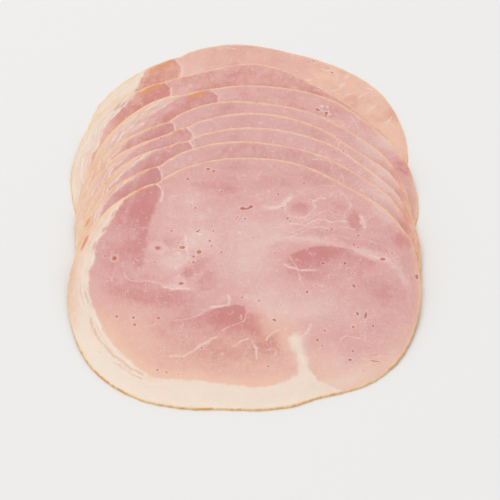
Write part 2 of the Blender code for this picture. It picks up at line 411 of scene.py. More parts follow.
# %% The seams and flecks
SEAMS = [  # line, half width, how pale
    ([(-57, 29), (-53, 28.5), (-50.5, 27)], 0.4, 0.6),
    ([(-63, 0), (-60, -4), (-55, -5.2), (-50, -5.0), (-46, -5.5), (-42, -7.5)], 0.4, 0.8),
    ([(-42, -9), (-37, -10.3), (-32, -9.6), (-28, -9.8)], 0.7, 0.8),
    ([(-36, -29.5), (-30, -28.5), (-27, -27), (-23, -25), (-18, -22)], 0.4, 0.72),
    ([(-60, -31), (-53, -31.5), (-47, -32), (-40, -31.5)], 0.35, 0.6),
    ([(-56, -19.5), (-50, -22), (-43, -22.5), (-38, -21)], 0.3, 0.52),
    ([(-34, -33), (-27, -35), (-20, -34)], 0.3, 0.5),
    ([(-38, -49.5), (-31, -49.5), (-26, -47), (-23, -44),
      (-20, -42), (-17, -39.5), (-14, -38.5)], 0.6, 0.85),
    ([(-28, -54), (-25, -50), (-23, -47)], 0.4, 0.55),
    ([(-17, -21.5), (-13, -20.5), (-9, -20), (-7.5, -19), (-7, -16.5), (-7.5, -14)], 0.6, 0.85),
    ([(-11, -35), (-8, -33), (-4, -31.5), (0, -30), (1, -25)], 0.45, 0.72),
    ([(-5, -44.5), (-2, -42), (2, -40)], 0.5, 0.8), ([(4, -41), (6, -46), (6, -51)], 0.55, 0.8),
    ([(11, -41.5), (13, -38), (16, -35), (19, -34.5)], 0.5, 0.8),
    ([(15, -45), (17, -47), (16, -49)], 0.5, 0.6),
    ([(24, -39.5), (28, -39.5), (31, -37), (34, -33), (34.5, -31)], 0.6, 0.85),
    ([(21, 5), (24, 3), (28, 2), (33, 2), (38, 2)], 0.5, 0.95),
    ([(24, 10), (27, 5), (29, 0), (30, -5), (32, -9)], 0.45, 0.8),
    ([(47, -46), (49, -42), (50, -38.5), (53, -37), (56, -37.5), (60, -38.5), (66, -41)], 0.4, 0.7),
    ([(53, -37), (54, -33), (57, -30)], 0.35, 0.6), ([(61, -30), (63, -35), (63, -42)], 0.35, 0.62),
    ([(14, 43), (18, 43.5), (21, 45), (23, 48), (25, 50)], 1.1, 0.85),
    ([(22, 47), (22, 43), (22, 39)], 0.7, 0.8), ([(23, 38), (26, 36), (31, 36), (36, 38)], 0.4, 0.6),
    ([(52, 24), (58, 22), (66, 22), (74, 19)], 0.5, 0.5),
    ([(36, 48.5), (38, 48), (41, 50), (45, 50)], 0.6, 0.8),
    ([(33, 52), (38, 53), (42, 52), (46, 53)], 0.4, 0.56),
    ([(43, 59), (47, 59.5), (52, 58), (54, 54), (57, 50), (58, 46), (57, 42)], 0.5, 0.64),
    ([(63, 37), (64.5, 34), (65, 30)], 1.0, 0.95), ([(64, 36), (67, 38), (70, 37)], 0.4, 0.65),
    ([(25, 32), (33, 30), (37, 33), (40, 34.5), (44, 34), (47, 32.5), (51, 34), (55, 34)], 0.45, 0.85),
    ([(26, 26), (31, 28), (36, 30), (39, 32.5)], 0.4, 0.7),
    ([(25, 23), (30, 25), (36, 28.5), (41, 30)], 0.45, 0.75),
    ([(38, 28.5), (41, 30), (45, 29), (48, 28.5), (52, 30), (56, 30), (60, 28)], 0.45, 0.8),
    ([(25, 30.5), (30, 32), (35, 34.5), (38, 37), (41, 39.5), (45, 41), (48, 44)], 0.35, 0.7),
    ([(33, 34), (37, 36.5), (41, 39), (44, 41.5), (47, 40), (49, 38), (53, 38)], 0.35, 0.65),
    ([(37, 48), (38.5, 44), (37, 41), (34.5, 37.5), (31, 35.5)], 0.45, 0.7),
    ([(52, 55), (55.5, 51), (56, 47), (58, 44), (55, 41), (54, 36)], 0.45, 0.65),
    ([(27, 51), (31, 54), (36, 57), (42, 58.5)], 0.5, 0.5), ([(40, 47), (45, 46), (50, 43)], 0.4, 0.5),
    ([(76, 43), (72, 40), (68, 37), (65, 34)], 0.5, 0.6), ([(30, 21), (38, 22), (46, 20.5)], 0.4, 0.45),
    ([(15, 29), (20, 28.5), (24, 26), (28, 25)], 0.4, 0.65),
    ([(21, 22), (27, 22.5), (33, 22), (40, 21)], 0.5, 0.6), ([(60, 30), (58, 25), (54, 22)], 0.3, 0.5),
    ([(70, 46), (74, 41), (80, 40)], 0.45, 0.6), ([(66, 12.5), (71, 11), (76, 8)], 0.5, 0.7),
    ([(-18, 46), (-13, 47), (-9, 43)], 0.4, 0.5), ([(-5, 53), (2, 56), (8, 54)], 0.4, 0.45),
    ([(2, 20), (6, 24), (12, 24)], 0.35, 0.5), ([(-47, 25), (-42, 27), (-36, 26)], 0.5, 0.5),
    ([(-31, 24), (-31, 19), (-30, 12), (-31, 6)], 0.7, 0.7), ([(84, 34), (80, 27), (81, 20)], 0.4, 0.5),
    ([(44, 12), (52, 9), (60, 8)], 0.35, 0.42),
]
LIPS = [  # seams that go with the end of the back muscle
    ([(-52, 66), (-49, 61.5), (-46, 57), (-45, 52.5), (-45.5, 48)], 0.55, 0.95),
    ([(-49, 66), (-46, 61), (-44, 56)], 0.4, 0.62), ([(-46, 48), (-47, 42), (-49, 34)], 0.35, 0.5),
]
FLECKS = [  # slice, u, v, half length, half width, turn: small pale flecks
    (7, -23.5, 25, 2.2, 1.1, 0), (7, -30.5, 21, 1.2, 2, 0), (7, -31, 16, 0.8, 2.5, 0),
    (7, -30, 9, 1, 1.5, 0), (7, -34, 13, 1.2, 1, 0), (7, -28, 12, 1, 0.7, 0), (7, -36, 4, 1, 2, 0),
    (7, -35, 0, 0.8, 0.8, 0), (7, 22, 46, 2.4, 1.6, 40), (7, -27, 21, 1, 0.7, 0),
    (7, -20, 16, 0.8, 0.6, 0), (7, -73, -3, 1.2, 0.5, 0), (7, -69, -2, 0.6, 0.5, 0),
    (7, 74.5, 12, 1.2, 0.8, 0), (7, 63.5, 33, 1.2, 2.4, 0), (7, 44, 49.5, 2, 0.8, 0),
    (0, 59, 38, 5.0, 2.0, 22), (0, 54, 47, 2.2, 5.0, -35), (0, 57, 54, 1.6, 4.0, -35),
    (0, 72, 26, 6, 1.0, 50), (0, 82, 17, 6, 1.1, 62), (0, 50, 43, 5, 1.0, 12), (0, 67, 36, 6, 0.9, 35),
    (0, 34, 52, 4, 1.4, 0), (0, -12, 75, 2.0, 1.1, 0), (0, 45, 60, 6, 1.0, 0), (0, 70, 42, 4, 1.0, -20),
    (0, 40, 66, 7, 1.0, -16), (1, 45, 66, 3.4, 1.3, -20), (1, 40, 69, 2, 0.8, -15),
    (2, 33, 67, 2.2, 1.7, 0), (2, 36.5, 67.5, 1.7, 1.4, 0), (2, 30.5, 65, 1.5, 1.9, 0),
    (2, 37, 63.5, 2.3, 1.8, -30), (2, 39, 61, 1.9, 1.7, 0), (2, 33.5, 64, 1.8, 1.3, 0),
]
CURDS = [  # u, v, half width, half height: where pale grains lie thick
    (-30, 15, 10, 14), (58, -53, 12, 4), (15, -46, 5, 5), (-71, -3, 4, 2), (78, 12, 6, 4), (50, 53, 5, 3),
]
WAVING_SPOT = (40, 31, 18, 10, 12)  # u, v, half width, half height, turn: where fibres run level
SEAM_DRIFT = 5.0  # how far, in millimetres, a seam moves from slice to slice
SEAM_SHARE = 0.45  # how many of them a slice below shows


def seam_layers(k, at, bent, draw):
    """Pale lines and flecks, how far the flecks stand up, and where fine grains and wavy lines lie thick."""
    seam = np.full(len(at), -0.5)
    for line, wide, strength in SEAMS:
        shift = np.zeros(2) if k == TOP else draw.normal(0, SEAM_DRIFT, 2)
        if k == TOP or draw.random() < SEAM_SHARE:
            seam = np.maximum(seam, stroke(at - shift, line, wide, strength))
    for line, wide, strength in LIPS:
        seam = np.maximum(seam, stroke(at, np.array(line) + LIE[k][2], wide, strength))
    lumps = np.zeros(len(at))
    for piece, *shape in FLECKS:
        if piece == k:
            seam = np.maximum(seam, 1.1 * spot(bent, *shape) - 0.1)
            lumps = np.maximum(lumps, spot(at, *shape, power=4))
    curds = np.zeros(len(at))
    for shape in CURDS:
        curds = np.maximum(curds, spot(bent, *shape, power=3))
    return dict(seam=seam, lumps=lumps, curds=curds, waving=spot(at, *WAVING_SPOT, power=4))


print("seams:", len(SEAMS) + len(LIPS), "and flecks:", len(FLECKS))


# %% [markdown]
# Near the fat and under the glaze the lean turns peach, as the heat reached it first. Most slices below the
# top one are also a little greyer. Both could be part of the tone, but as shares of their own the material
# can mix them into any pink.

# %% Where the lean is warmer or cooler
WARM_SPOTS = [  # u, v, half width, half height, turn, how warm
    (60, -60, 26, 9, 28, 0.8), (80, -45, 8, 16, -30, 0.5), (41, -58, 10, 14, 20, 0.7),
]
CREAM_SPOTS = [  # the same, but how fatty
    (52, -63, 20, 5, 22, 0.55), (76, -52, 6, 10, -35, 0.35),
]
WARM_BACK = (0.42, 0.22, 0.1, 0.05, 0, 0, 0, 0)  # the lowest slices are a little more orange
COOL_BACK = (0, 0.05, 0.12, 0.15, 0.2, 0.2, 0.2, 0.05)  # how much greyer each slice is


def most_of(spots, at):
    """The strongest of several soft spots at each point."""
    return np.max([strength * spot(at, *shape) for *shape, strength in spots], axis=0)


def warmth_layers(k, at, depth, rim_depth):
    """How peach, how grey and how fatty the lean is."""
    right, front = at[:, 0], -at[:, 1]
    warmths = [
        soft(14 - depth, 0, 13) * soft(front, 4, 32) * (1 - soft(right, 16, 34)),
        0.6 * soft(44 - depth, 0, 36) * soft(front, -5, 40) * (1 - soft(right, 0, 50)),
        WARM_BACK[k] * (1 + soft(-right, 30, 50)),
        0.7 * soft(5 - rim_depth, 0, 4.5) * soft(right, 58, 80),
        0.5 * soft(3 - rim_depth, 0, 3) * soft(-front, 30, 50),
        most_of(WARM_SPOTS, at),
    ]
    if k == 0:
        warmths.append(soft(right + 8 * hills(at, 20, 3), 22, 40) * (0.85 + 0.25 * hills(at, 5, 4)))
    warm = np.max(warmths, axis=0)
    grey = COOL_BACK[k] * (1 + 0.5 * hills(at, 12, own_seed(k) + 15))
    return dict(warm=warm, cool=grey * (1 - np.clip(warm, 0, 1)), cream=most_of(CREAM_SPOTS, at))


print("the lowest slice is warm by", WARM_BACK[0], "and the top one by", WARM_BACK[TOP])


# %% [markdown]
# Brine and steam leave small round and oval holes. The larger ones of the top slice are listed one by
# one, with a few on the slices below, and small ones are strewn by chance with a fixed seed. Only the
# colour and the relief use them: cutting real holes into the mesh would cost far more and look the same.

# %% The holes
HOLES = [  # u, v, half length, half width, turn, depth
    (-0.7, 42.5, 1.6, 1.2, -10, 1.0), (1.7, 42.5, 1.9, 0.7, 8, 0.9), (3.7, 43.8, 1.4, 1.1, 30, 1.0),
    (-46, 16.3, 3.0, 2.3, -5, 0.55), (-33, 16.6, 1.7, 1.1, 0, 1.0), (-24, 13.5, 1.3, 1.4, 0, 1.0),
    (-69, 10, 1.4, 1.5, 30, 0.9), (-33, -6.5, 1.4, 1.0, 10, 0.9), (-34, -4, 1.6, 1.2, 0, 0.35),
    (74, 10, 1.6, 1.1, 0, 1.0), (63.4, -25, 2.4, 0.7, 80, 1.0), (59.2, -24, 1.3, 0.6, -60, 1.0),
    (67, -31, 1.1, 0.6, 85, 0.9), (56.6, -32, 0.9, 0.8, 0, 0.8), (56, -46, 1.0, 0.7, 70, 1.0),
    (64.5, -44, 1.1, 0.5, 85, 0.9), (54.3, -51, 1.0, 0.7, 0, 1.0), (15.8, -29, 1.2, 0.7, -30, 1.0),
    (58, -8, 0.9, 0.7, 0, 1.0), (42, 6, 0.9, 0.8, 0, 1.2), (38, -8, 0.7, 0.6, 0, 0.9),
    (8, -17.5, 0.9, 0.5, 0, 0.9), (23.6, 35.5, 1.0, 0.6, 70, 0.9), (25, 33.5, 0.9, 0.6, -30, 0.9),
    (30, 32.4, 1.1, 0.4, 0, 0.7), (61.5, 25, 0.8, 0.7, 0, 0.9), (55.5, 38.5, 0.8, 0.6, 0, 0.7),
    (36.5, 48.5, 1.0, 0.5, 0, 0.7), (33, 61, 0.7, 0.6, 0, 0.9), (18.7, 53, 0.8, 0.7, 0, 0.9),
    (-20, 71.5, 1.2, 0.9, 0, 1.0), (-17, 70, 1.1, 0.8, 0, 1.0), (-31.2, 64.2, 1.1, 0.7, 0, 0.9),
    (-26.5, 43, 0.7, 0.8, 0, 0.9), (-25, 26.4, 1.2, 0.5, 10, 1.0), (-16.5, 26.5, 1.2, 0.4, 90, 0.8),
    (-18.4, 20.5, 0.8, 0.7, 0, 0.9), (-17.3, 17.2, 1.1, 0.5, 70, 0.9), (-35.2, 19.7, 0.8, 0.5, 0, 0.8),
    (-51.3, 20.6, 0.6, 0.6, 0, 0.7), (-53.4, 15, 0.6, 0.6, 0, 0.7), (-48.4, 9, 0.6, 0.5, 0, 0.7),
    (-47.4, 6.7, 0.7, 0.6, 0, 0.9), (-35.4, 7.6, 0.6, 0.5, 0, 0.7), (-57.8, 31, 0.7, 0.5, 0, 0.9),
    (-64.5, 33.6, 0.6, 0.6, 0, 0.7), (-61.6, -11.3, 0.6, 0.5, 0, 0.9), (-57.3, -27, 1.0, 0.9, 0, 0.8),
    (-56.6, -31, 0.9, 0.8, 0, 1.0), (-44.2, -27.7, 0.8, 0.7, 0, 1.0), (-18, -23, 0.5, 0.5, 0, 0.9),
    (64, 2, 0.6, 0.5, 0, 0.6), (28, 8, 0.6, 0.6, 0, 0.6), (44.6, 27.7, 0.8, 0.5, 0, 0.8),
    (79.4, 13.7, 0.5, 0.6, 0, 0.7), (41.8, -34.6, 0.8, 0.8, 40, 0.9), (40.4, -43, 0.9, 0.4, 30, 0.9),
    (38, -62.5, 0.9, 0.7, 0, 0.7), (61, -57, 0.9, 0.5, 0, 0.7), (61.6, -30, 1.3, 0.4, -45, 0.8),
    (62.4, -37, 1.6, 0.4, 85, 0.5), (11, -41.5, 0.7, 0.5, 0, 0.8), (52, -27.3, 0.8, 0.4, 30, 0.7),
    (80, -17.5, 0.5, 0.5, 0, 0.8), (67, -51.2, 4.2, 0.4, -8, 0.75), (66, -47.8, 3.4, 0.35, -3, 0.6),
    (73, -47, 3.4, 0.3, 22, 0.55), (79, 14, 0.8, 0.6, 0, 0.8), (75, 13.5, 0.6, 0.5, 0, 0.7),
    (78.5, 11, 0.5, 0.5, 0, 0.7), (71, 14.5, 0.5, 0.5, 0, 0.7), (-24, 27.5, 0.6, 0.5, 0, 0.8),
    (91.8, 1, 0.9, 1.6, 0, 1),
]
OWN_HOLES = [  # slice, u, v, half length, half width, turn
    (2, 32, 62, 1.7, 0.7, 0), (2, 37.3, 60.2, 1.2, 0.9, -35), (2, 37, 58.4, 0.6, 0.9, 0),
    (3, -57, 56.6, 1.0, 0.6, 30), (3, -55, 58.0, 0.8, 0.5, 40), (3, -53, 59.2, 1.1, 0.55, 35),
    (3, -50.8, 60.4, 0.8, 0.5, 30), (4, -51, 60.0, 1.0, 0.6, 30), (4, -46.6, 63.2, 0.7, 0.5, 35),
    (4, -43.6, 65.2, 0.9, 0.5, 30), (5, -48, 63.6, 1.0, 0.6, 30), (5, -45, 65.8, 0.7, 0.45, 30),
]
SMALL_HOLES = 120
NO_HOLE = -2.0


def holes_on(k, uv, depth, draw):
    """How far each point is inside a hole: above zero near one, 1.5 in the middle of a deep one."""
    marks = list(HOLES) if k == TOP else []
    marks += [(*mark, 1) for piece, *mark in OWN_HOLES if piece == k]
    for _ in range(SMALL_HOLES):
        u, v, size = draw.uniform(-85, 85), draw.uniform(-60, 75), draw.uniform(0.45, 0.85)
        marks.append((u, v, size, size * draw.uniform(0.5, 1), draw.uniform(0, 180), draw.uniform(0.5, 1)))
    hole = np.full(len(uv), NO_HOLE)
    for u, v, long, short, turn, strength in marks:
        reach = 3 * long + 1
        near = np.flatnonzero((np.abs(uv[:, 0] - u) < reach) & (np.abs(uv[:, 1] - v) < reach))
        off = np.hypot(*in_oval(uv[near], u, v, long, short, turn))
        hole[near] = np.maximum(hole[near], (1.5 - off) * min(strength, 1))
    return np.where(depth > 1, hole, NO_HOLE)


print("holes on the top slice:", len(HOLES) + SMALL_HOLES)


# %% [markdown]
# The fat cap is cream-coloured and stringy, pinker next to the lean, with thin strips of meat caught in it.
# Glaze has run over its edge: golden down the left, tan where it spread onto the face at the back, and rusty
# in lens-shaped streaks. At the right, the same colour also paints the shade in the gaps between slices. All
# of these follow the rim, so they are measured by how deep a point lies from it.

# %% The fat and the glaze on the face
DASHES = [  # slice and line: thin mauve strips of meat caught in the fat
    (7, [(-69, 43), (-71, 39), (-73, 35)]), (7, [(-74, 33), (-76, 29), (-77.5, 25.5)]),
    (7, [(-78.5, 23), (-80, 18), (-81, 13)]), (6, [(-67, 52), (-72, 46)]), (6, [(-73, 46), (-77, 40)]),
    (6, [(-70, 50), (-75, 43)]), (5, [(-61, 59), (-67, 52)]), (2, [(-53, 58), (-59, 50.5)]),
    (2, [(-55, 57), (-62, 48), (-66, 42)]), (2, [(-62, 51), (-70, 39)]), (2, [(-68, 47), (-73, 38)]),
    (1, [(-69, 49), (-74, 39)]), (1, [(-72, 47), (-77, 36)]),
]
STRANDS = [  # line, half width, how dark: thin brown lines in the fat at the front left of the top slice
    ([(-80, -25), (-79, -31), (-76, -35), (-74, -38), (-71, -42)], 0.45, 0.8),
    ([(-71, -42), (-69, -45), (-67, -48), (-64, -50), (-61, -53),
      (-58, -56), (-55, -57.5), (-52, -60)], 0.5, 1),
    ([(-83, -10), (-82, -16)], 0.5, 0.8), ([(-80, -25), (-78, -31), (-74, -37)], 0.35, 0.7),
    ([(-67, -52), (-64, -54), (-61, -57), (-58, -59), (-55, -61), (-52, -62)], 0.35, 0.7),
    ([(-75, -45), (-73, -46.5)], 0.4, 0.5), ([(-64, -53), (-61, -55.5), (-58, -57.5)], 0.3, 0.5),
]
PATCHES = [  # slice, from and to u, how deep, how tan: glaze at the back of the face, and painted shade at the right
    (0, -61, -46, 7, 0.9), (1, -62, -49, 5.0, 1.3), (2, -45, -35, 5.0, 1.3), (3, -56.5, -49, 1.8, 1.3),
    (3, -49, -43, 1.0, 0.8), (4, -50.5, -47, 1.6, 1.2), (4, -46, -40, 2.2, 1.0), (5, -49, -45, 2.2, 1.3),
    # from u = 82 on, the patches paint the shade in the gaps between slices at the right, mixed with glaze
    (5, -45, -38, 1.5, 0.8), (6, -68, -53, 1.7, 0.7), (7, -63, -53, 2.2, 1.0), (1, 84, 104, 2.6, 1.0),
    (3, 86, 99, 1.0, 0.7), (4, 84, 99, 1.2, 0.8), (5, 82, 99, 1.4, 0.8), (6, 84, 99, 1.6, 0.9),
]
STREAKS = [  # slice, from and to v, from and to depth: rust-coloured glaze drawn into the left of the face
    (3, 23, 36, 0, 1.6), (4, 29, 39, 0, 1.8), (5, 34, 43, 0.2, 2.2), (5, 50, 53, 0, 1.5),
    (6, 19, 28, 0.6, 3.0), (6, 41, 47, 0, 1.2), (7, 17, 25.5, 1.4, 3.8), (7, 24, 33, 0, 1.5),
]
BLUSH = (0.15, 0.42, 1.3, 1.3, 1.3, 1.3, 1.2, 0.2)  # how pink the fat is next to the lean
GILDED = (0, 0, 0.8, 0.8, 0.8, 0.8, 0.8, 0.45)  # how golden the left rim of each slice is


def fat_layers(k, at, depth):
    """Strips of meat and brown lines in the fat, how pink it is, and how stringy."""
    mauve, strand = np.full(len(at), -0.5), np.full(len(at), -0.5)
    for piece, line in DASHES:
        if piece == k:
            off, along = beside(at, line)
            strip = soft(along, 0, 0.4) * soft(1 - along, 0, 0.4) * 1.1 - np.abs(off) / 1.2
            mauve = np.maximum(mauve, strip)
    if k == TOP:
        for line, wide, strength in STRANDS:
            strand = np.maximum(strand, stroke(at, line, wide, strength))
    strung = soft(depth, -9, -2) * soft(-at[:, 0], 30, 50) if k == TOP else soft(depth, -18, -4)
    return dict(mauve=mauve, strand=strand, blush=BLUSH[k] * soft(depth, -16, -1), strung=strung)


def lens(share, rim_depth, outer, inner):
    """A streak between two depths that narrows to a point at both ends."""
    middle = (outer + inner) / 2
    half = (inner - outer) / 2 * np.sqrt(np.maximum(4 * share * (1 - share), 0)) + 0.01
    return (1 - np.abs(rim_depth - middle) / half) * (share > 0) * (share < 1)


def glaze_layers(k, uv, at, rim_depth):
    """Glaze and painted shade: patches at back and right, rusty streaks, and a golden rim at the left."""
    tan_and_gap_shade, rust = np.zeros(len(at)), np.zeros(len(at))
    ragged_depth = rim_depth + 0.8 * hills(at, 2.2, own_seed(k) + 12)
    for piece, start, end, deep, strength in PATCHES:
        if piece == k:
            across = soft(at[:, 0], start, start + 1.5) * soft(end - at[:, 0], 0, 1.5) * (at[:, 1] > 0)
            tan_and_gap_shade = np.maximum(tan_and_gap_shade, strength * across * (1 - soft(ragged_depth, 0.5 * deep, 1.3 * deep)))
    for piece, start, end, outer, inner in STREAKS:
        if piece == k:
            share = np.clip((at[:, 1] - start) / (end - start), 0, 1)
            rust = np.maximum(rust, lens(share, rim_depth, outer, inner) * (at[:, 0] < 0))
    left, back = -uv[:, 0], uv[:, 1]
    gild = GILDED[k] * soft(left, 58, 74) * soft(back, -10, 12) * (1 - soft(rim_depth, 0.5, 6))
    if k == TOP:
        wide_rim = 0.9 * soft(left, 60, 84) * soft(back, -45, -5) * (1 - soft(rim_depth, 0, 9))
        gild = np.maximum(gild, wide_rim)
    return dict(tan_and_gap_shade=tan_and_gap_shade, rust=rust, gild=gild)


print("patches and streaks of glaze:", len(PATCHES) + len(STREAKS))


# %% [markdown]
# All slices are cut from one piece, so they show the same muscles. Exact copies would look false, so each
# slice has the drawing pushed about a little before it is painted, while its dark back muscle still ends at
# its own nick. The holes are a slice's own.

# %% Paint one slice
WISPY_SPOT = (29, -46, 9, 14)  # where fat and lean run into each other: u, v, half width, half height
WISPY = 1.8  # how many millimetres more they do so there


def paint(k, uv, rim_depth):
    """The painted layers of slice k at points given in its own millimetres."""
    own = own_seed(k)
    at = uv + (0.6 if k == TOP else 0.9) * sway(uv, 9, own)
    at = at + 0.35 * sway(uv, 2.5, own + 2)
    if k != TOP:
        at = at + 3.5 * sway(uv, 40, own + 4) * soft(uv[:, :1], -50, 20)
    bent = at + 1.2 * sway(at, 4.5, own + 13)
    draw = np.random.default_rng(own + 11)
    depth = lean_depth(k, at)
    layers = dict(depth=depth, tone=muscle_tone(k, at, bent, depth))
    layers["wispy"] = WISPY * spot(at, *WISPY_SPOT, power=4)
    layers.update(seam_layers(k, at, bent, draw))
    layers.update(warmth_layers(k, at, depth, rim_depth))
    layers.update(fat_layers(k, at, depth))
    layers.update(glaze_layers(k, uv, at, rim_depth))
    layers["hole"] = holes_on(k, uv, depth, draw)
    return layers


print("painted layers:", sorted(paint(TOP, middle_point, np.ones(1))))


# %% [markdown]
# A slice is one closed mesh: a fine grid for the face, loops of points for the rounded edge, and a coarser
# grid underneath. A round fan of triangles would crowd its points in the middle. A square grid bent into the
# shape of the slice keeps its cells nearly even, so the paint is equally sharp everywhere.

# %% A square grid bent round
def disc(cells):
    """Each point's share of the way from the middle to the edge, and its heading."""
    s = np.linspace(-1, 1, cells + 1)
    a, b = np.meshgrid(s, s)
    wide = np.abs(a) > np.abs(b)
    with np.errstate(divide="ignore", invalid="ignore"):
        heading = np.where(wide, np.pi / 4 * b / a, np.pi / 2 - np.pi / 4 * a / b)
    out = np.where(wide, a, b)
    heading = np.where(out == 0, 0, heading)
    heading = np.where(out < 0, heading + np.pi, heading)
    return np.abs(out).ravel(), ((heading + np.pi) % (2 * np.pi) - np.pi).ravel()


def grid_faces(cells):
    i, j = np.meshgrid(np.arange(cells), np.arange(cells))
    first = (j * (cells + 1) + i).ravel()
    return np.stack([first, first + 1, first + cells + 2, first + cells + 1], axis=1)


def border(cells):
    """The outer points of a grid, going round anticlockwise."""
    n = cells + 1
    low = np.arange(cells)
    return np.concatenate([low, low * n + cells, n * n - 1 - low, (cells - low) * n])


print("cells in a small grid:", len(grid_faces(8)), "with", len(border(8)), "points round it")


# %% [markdown]
# The lower edge of a slice is crisp. The upper one is a little rounded, and the cut wanders by a fraction of
# a millimetre. A bevel modifier would round both edges alike, so the loops of the edge are
# placed directly, each at its own angle round a small circle.

# %% The shell of one slice
THICK = 1.5
ROUND = 0.5  # radius of the rounded upper edge
LOW_ROUND = 0.12  # and of the lower one
TURNS = (30, 60, 90, 270, 300, 330)  # where the loops of the edge lie, in degrees from straight up
FINE = [200] * TOP + [288]  # cells across each slice
COARSE = 4  # the underside has cells this much larger
RIM = 90.0  # about how far the rim is from the middle, for noise that follows it


def reach_at(k, heading):
    return np.interp(heading, HEADINGS, REACH[k], period=2 * np.pi)


def ragged(k, heading):
    """Small uneven steps in the cut edge, inwards only, in millimetres."""
    ring = polar(RIM, heading)
    return 0.35 * (1 + hills(ring, 5, 31 * k + 5)) / 2 + 0.28 * (1 + hills(ring, 1.8, 31 * k + 6)) / 2


def shell(k):
    """One slice laid flat: its points and their heights, its faces, and how many points the cut face has."""
    cells, rough = FINE[k], FINE[k] // COARSE
    grade = 1.0 if k == TOP else 0.72  # below 1, the cells are finer towards the rim
    out, heading = disc(cells)
    edge = reach_at(k, heading) - ragged(k, heading)
    flat = [polar(out**grade * (edge - ROUND), heading)]
    up = [np.full(len(out), THICK)]
    ring = border(cells)
    for angle in TURNS:
        a = math.radians(angle)
        bend = ROUND if angle <= 90 else LOW_ROUND
        flat.append(polar(edge[ring] - bend + bend * abs(math.sin(a)), heading[ring]))
        rise = THICK - bend + bend * math.cos(a) if angle <= 90 else bend - bend * math.cos(a)
        up.append(np.full(len(ring), rise))
    rough_out, rough_heading = disc(rough)
    rough_reach = reach_at(k, rough_heading) - 2.2 * ROUND
    flat.append(polar(rough_out**grade * rough_reach, rough_heading))
    up.append(np.zeros(len(rough_out)))

    faces = grid_faces(cells).tolist()
    loops = [ring] + [len(out) + row * len(ring) + np.arange(len(ring)) for row in range(len(TURNS))]
    for upper, lower in zip(loops, loops[1:]):
        faces += np.stack([upper, lower, np.roll(lower, -1), np.roll(upper, -1)], axis=1).tolist()
    start = len(out) + len(TURNS) * len(ring)
    faces += (grid_faces(rough)[:, ::-1] + start).tolist()
    inner, last = border(rough) + start, loops[-1]
    for i in range(len(inner)):
        outer = [last[(COARSE * i + s) % len(last)] for s in range(COARSE + 1)]
        faces.append(outer[::-1] + [inner[i], inner[(i + 1) % len(inner)]])
    return np.vstack(flat), np.concatenate(up), faces, len(out)


print("points in the top slice:", len(shell(TOP)[0]))


# %% [markdown]
# The face isn't quite flat: holes are 0.3 mm deep, seams sink in a little, and the meat has low hills. Bump
# in the material would shade these without moving anything, but real relief also shows from the side
# and in the exported mesh. The mesh then gets every painted layer as an attribute, which the material reads.

# %% Build one slice
HOLE_DEEP = 0.30
SEAM_DEEP = 0.08
CRUMB_HIGH = 1.1
CRUMB_SLICE = 2
PLACE_APART = 40.0  # noise is read this far apart for each slice, so that no two match
ALONG_FAT = 85.0  # about how many millimetres of the fat cap one radian spans


def relief(k, flat, layers, rim_depth):
    """How far the face sinks below flat, in millimetres."""
    sunk = HOLE_DEEP * soft(layers["hole"], 0.2, 1.1) + SEAM_DEEP * soft(layers["seam"], 0.2, 0.9)
    sunk += 0.06 * (1 + hills(flat, 8, 7 * k)) / 2 + 0.05 * (1 + hills(flat, 3, 7 * k + 1)) / 2
    sunk *= soft(rim_depth, 0.4, 1.6)
    if k == CRUMB_SLICE:
        sunk -= CRUMB_HIGH * layers["lumps"] * (1 + 0.5 * hills(flat, 1.5, 77))
    return sunk


def edge_layers(k, flat, up, rim_depth):
    """How near the rim a point is, and how brown and how wide the line of glaze is there."""
    ring = flat / np.maximum(np.hypot(*flat.T), 1)[:, None] * RIM
    right, back = ring.T
    browned = 0.5 + 0.5 * hills(ring, 12, 7 * k + 2) + 0.3 * hills(ring, 4, 7 * k + 4)
    browned += 0.25 * soft(right, 50, 80) - 0.4 * soft(back, 20, 60)
    glazed = 0.75 + 0.35 * hills(ring, 4, 7 * k + 3) + 0.2 * soft(back, 20, 60)
    glazed += 0.5 * soft(-right, 50, 80) * soft(back, 0, 30)
    glazed -= 0.3 * soft(right, 70, 86) * soft(back, -10, 10)
    return dict(edge=np.where(up < THICK - 0.01, -1.0, rim_depth), browned=browned, glazed=glazed)


def add_attribute(mesh, name, kind, key, values):
    made = mesh.attributes.new(name, kind, "POINT")
    made.data.foreach_set(key, values.astype(np.float32).ravel())


def build_slice(k):
    flat, up, faces, face_count = shell(k)
    heading = np.arctan2(flat[:, 1], flat[:, 0])
    rim_depth = reach_at(k, heading) - np.hypot(*flat.T)
    layers = paint(k, flat, rim_depth)
    placed = from_slice(k, flat)
    height = lift(k, placed) + up
    height[:face_count] -= relief(k, flat, layers, rim_depth)[:face_count]
    mesh = bpy.data.meshes.new(f"ham_slice_{k + 1}")
    mesh.from_pydata((np.column_stack([placed, height]) * MM).tolist(), [], faces)
    mesh.polygons.foreach_set("use_smooth", np.ones(len(mesh.polygons), bool))

    del layers["lumps"]
    layers.update(edge_layers(k, flat, up, rim_depth))
    for name, values in layers.items():
        add_attribute(mesh, name, "FLOAT", "value", values)
    apart = np.full(len(flat), PLACE_APART * k)
    add_attribute(mesh, "spot_mm", "FLOAT_VECTOR", "vector", np.column_stack([flat, apart]))
    along_fat = np.column_stack([layers["depth"], heading * ALONG_FAT, apart])
    add_attribute(mesh, "band_mm", "FLOAT_VECTOR", "vector", along_fat)
    made = bpy.data.objects.new(f"ham_slice_{k + 1}", mesh)
    bpy.context.scene.collection.objects.link(made)
    return made


print("holes are", HOLE_DEEP, "mm deep and crumbs about", CRUMB_HIGH, "mm high")


# %% [markdown]
# A material is a net of nodes. Wiring them one by one is slow to read, so a small wrapper turns Python's own
# operators into Math nodes, and the material can be written as sums. Colours go through Mix nodes.

# %% Material tools
MIX_SHARE, MIX_BELOW, MIX_ABOVE, MIX_RESULT = 0, 6, 7, 2  # where a Mix node keeps its sockets for colours


